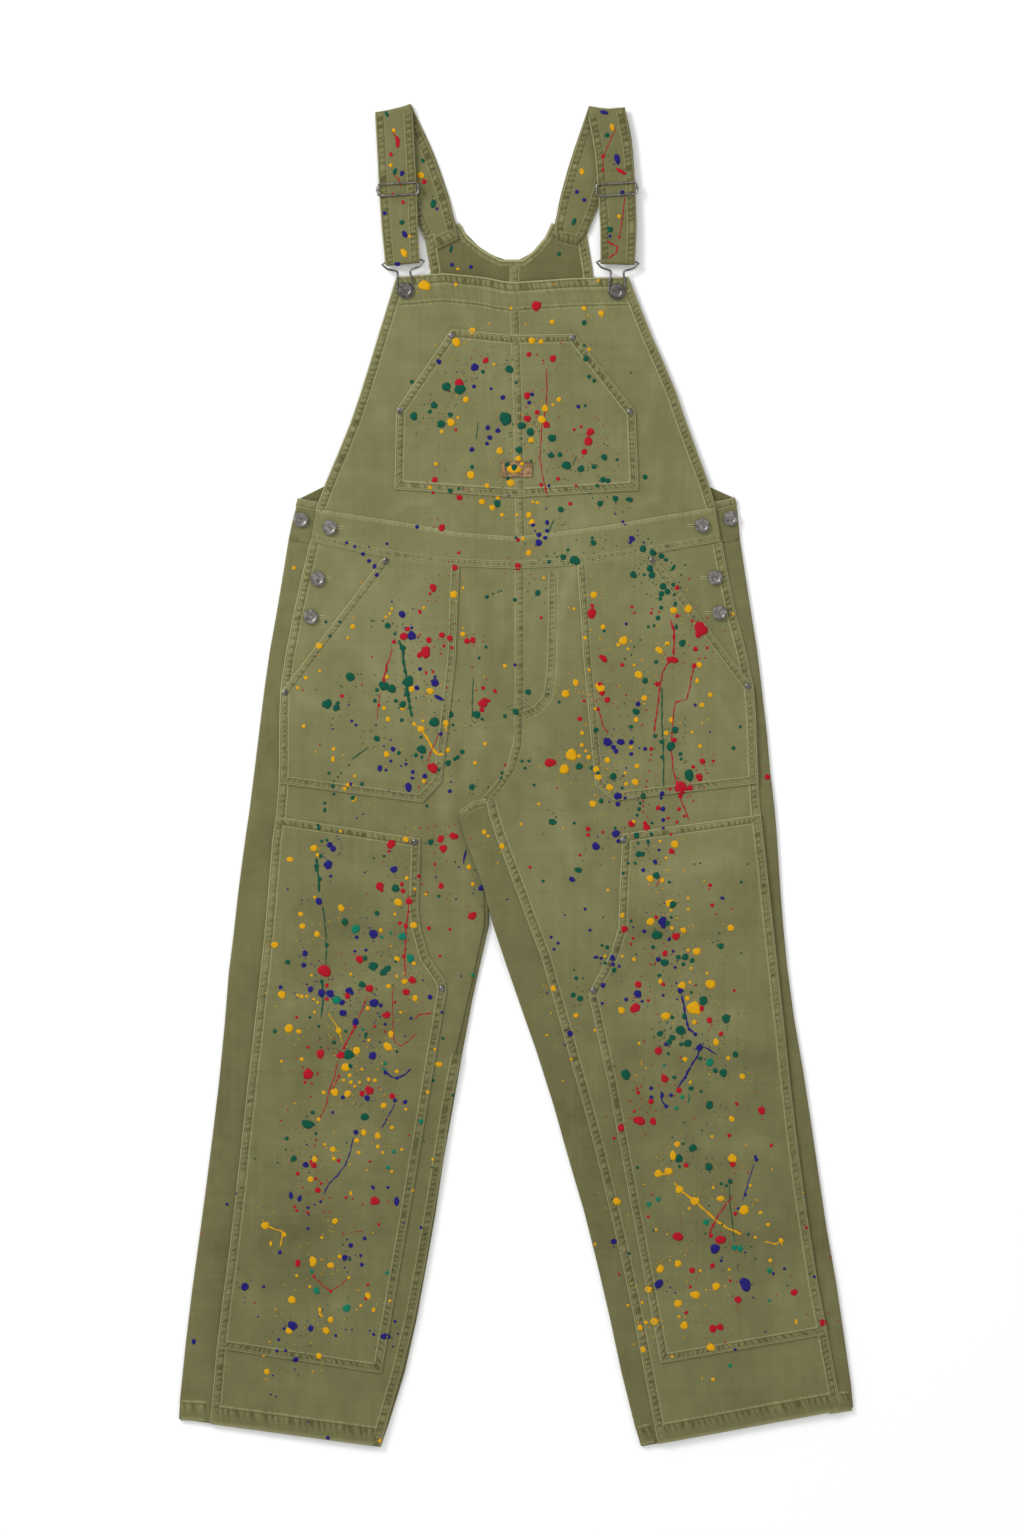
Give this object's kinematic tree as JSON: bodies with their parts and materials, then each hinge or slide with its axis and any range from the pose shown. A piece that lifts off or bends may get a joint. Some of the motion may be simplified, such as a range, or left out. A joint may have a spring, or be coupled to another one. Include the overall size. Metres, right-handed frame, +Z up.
{
  "type": "paint-spattered bib overalls",
  "caption": "Canvas bib overalls lying flat on their back: bib with pocket, buttoned side openings, patch pockets, double knees and straps folded to wire loops.",
  "frame": {"origin": "centre of the bounding box on the surface that the garment lies on", "axes": "+X to the viewer's right, +Y from the hems to the straps, +Z up out of the surface, through back and then front"},
  "size_m": [0.7413, 1.4764, 0.0113],
  "materials": {
    "canvas": "washed olive cotton canvas",
    "hardware": "antique nickel",
    "patch_leather": "plain brown, matte"
  },
  "bodies": {
    "root": {"bib": "canvas", "bib_pocket": "canvas", "upper_back": "canvas", "waistband_front": "canvas", "waistband_back": "canvas", "front_leg_left": "canvas", "back_leg_left": "canvas", "hand_pocket_left": "canvas", "knee_patch_left": "canvas", "strap_left": "canvas", "front_leg_right": "canvas", "back_leg_right": "canvas", "hand_pocket_right": "canvas", "knee_patch_right": "canvas", "strap_right": "canvas", "slider_left": "hardware", "slider_right": "hardware", "hook_left": "hardware", "hook_right": "hardware", "bib_button_left": "hardware", "bib_button_right": "hardware", "side_button_left_1": "hardware", "side_button_left_2": "hardware", "side_button_left_3": "hardware", "side_button_left_4": "hardware", "side_button_right_1": "hardware", "side_button_right_2": "hardware", "side_button_right_3": "hardware", "side_button_right_4": "hardware", "rivet_bib_1": "hardware", "rivet_bib_2": "hardware", "rivet_bib_3": "hardware", "rivet_bib_4": "hardware", "rivet_hand_left_1": "hardware", "rivet_hand_left_2": "hardware", "rivet_hand_right_1": "hardware", "rivet_hand_right_2": "hardware", "rivet_knee_left_1": "hardware", "rivet_knee_left_2": "hardware", "rivet_knee_right_1": "hardware", "rivet_knee_right_2": "hardware", "leather_patch": "patch_leather"}
  },
  "joints": []
}
